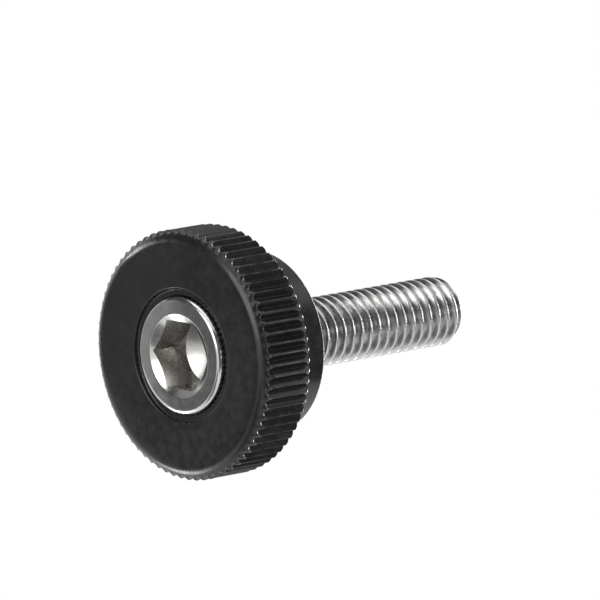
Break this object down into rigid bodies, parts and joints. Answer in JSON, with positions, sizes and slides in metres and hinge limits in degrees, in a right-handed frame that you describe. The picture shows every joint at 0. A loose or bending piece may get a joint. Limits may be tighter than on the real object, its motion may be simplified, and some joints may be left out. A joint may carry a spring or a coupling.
{
  "type": "thumb screw",
  "caption": "Thumb screw: a straight-knurled plastic knob pressed onto a socket head cap screw, turned by hand or with a hex key.",
  "frame": {"origin": "centre of the knob's flat front face, on which the thumb screw stands", "axes": "+Z along the screw's axis, from the front of the knob towards the screw's tip; +X through a groove of the knurl"},
  "size_m": [0.021, 0.021, 0.0306],
  "materials": {
    "knob_plastic": "satin black moulded plastic",
    "screw_steel": "bright stainless steel"
  },
  "bodies": {
    "root": {"knob": "knob_plastic", "socket_screw": "screw_steel"}
  },
  "joints": []
}
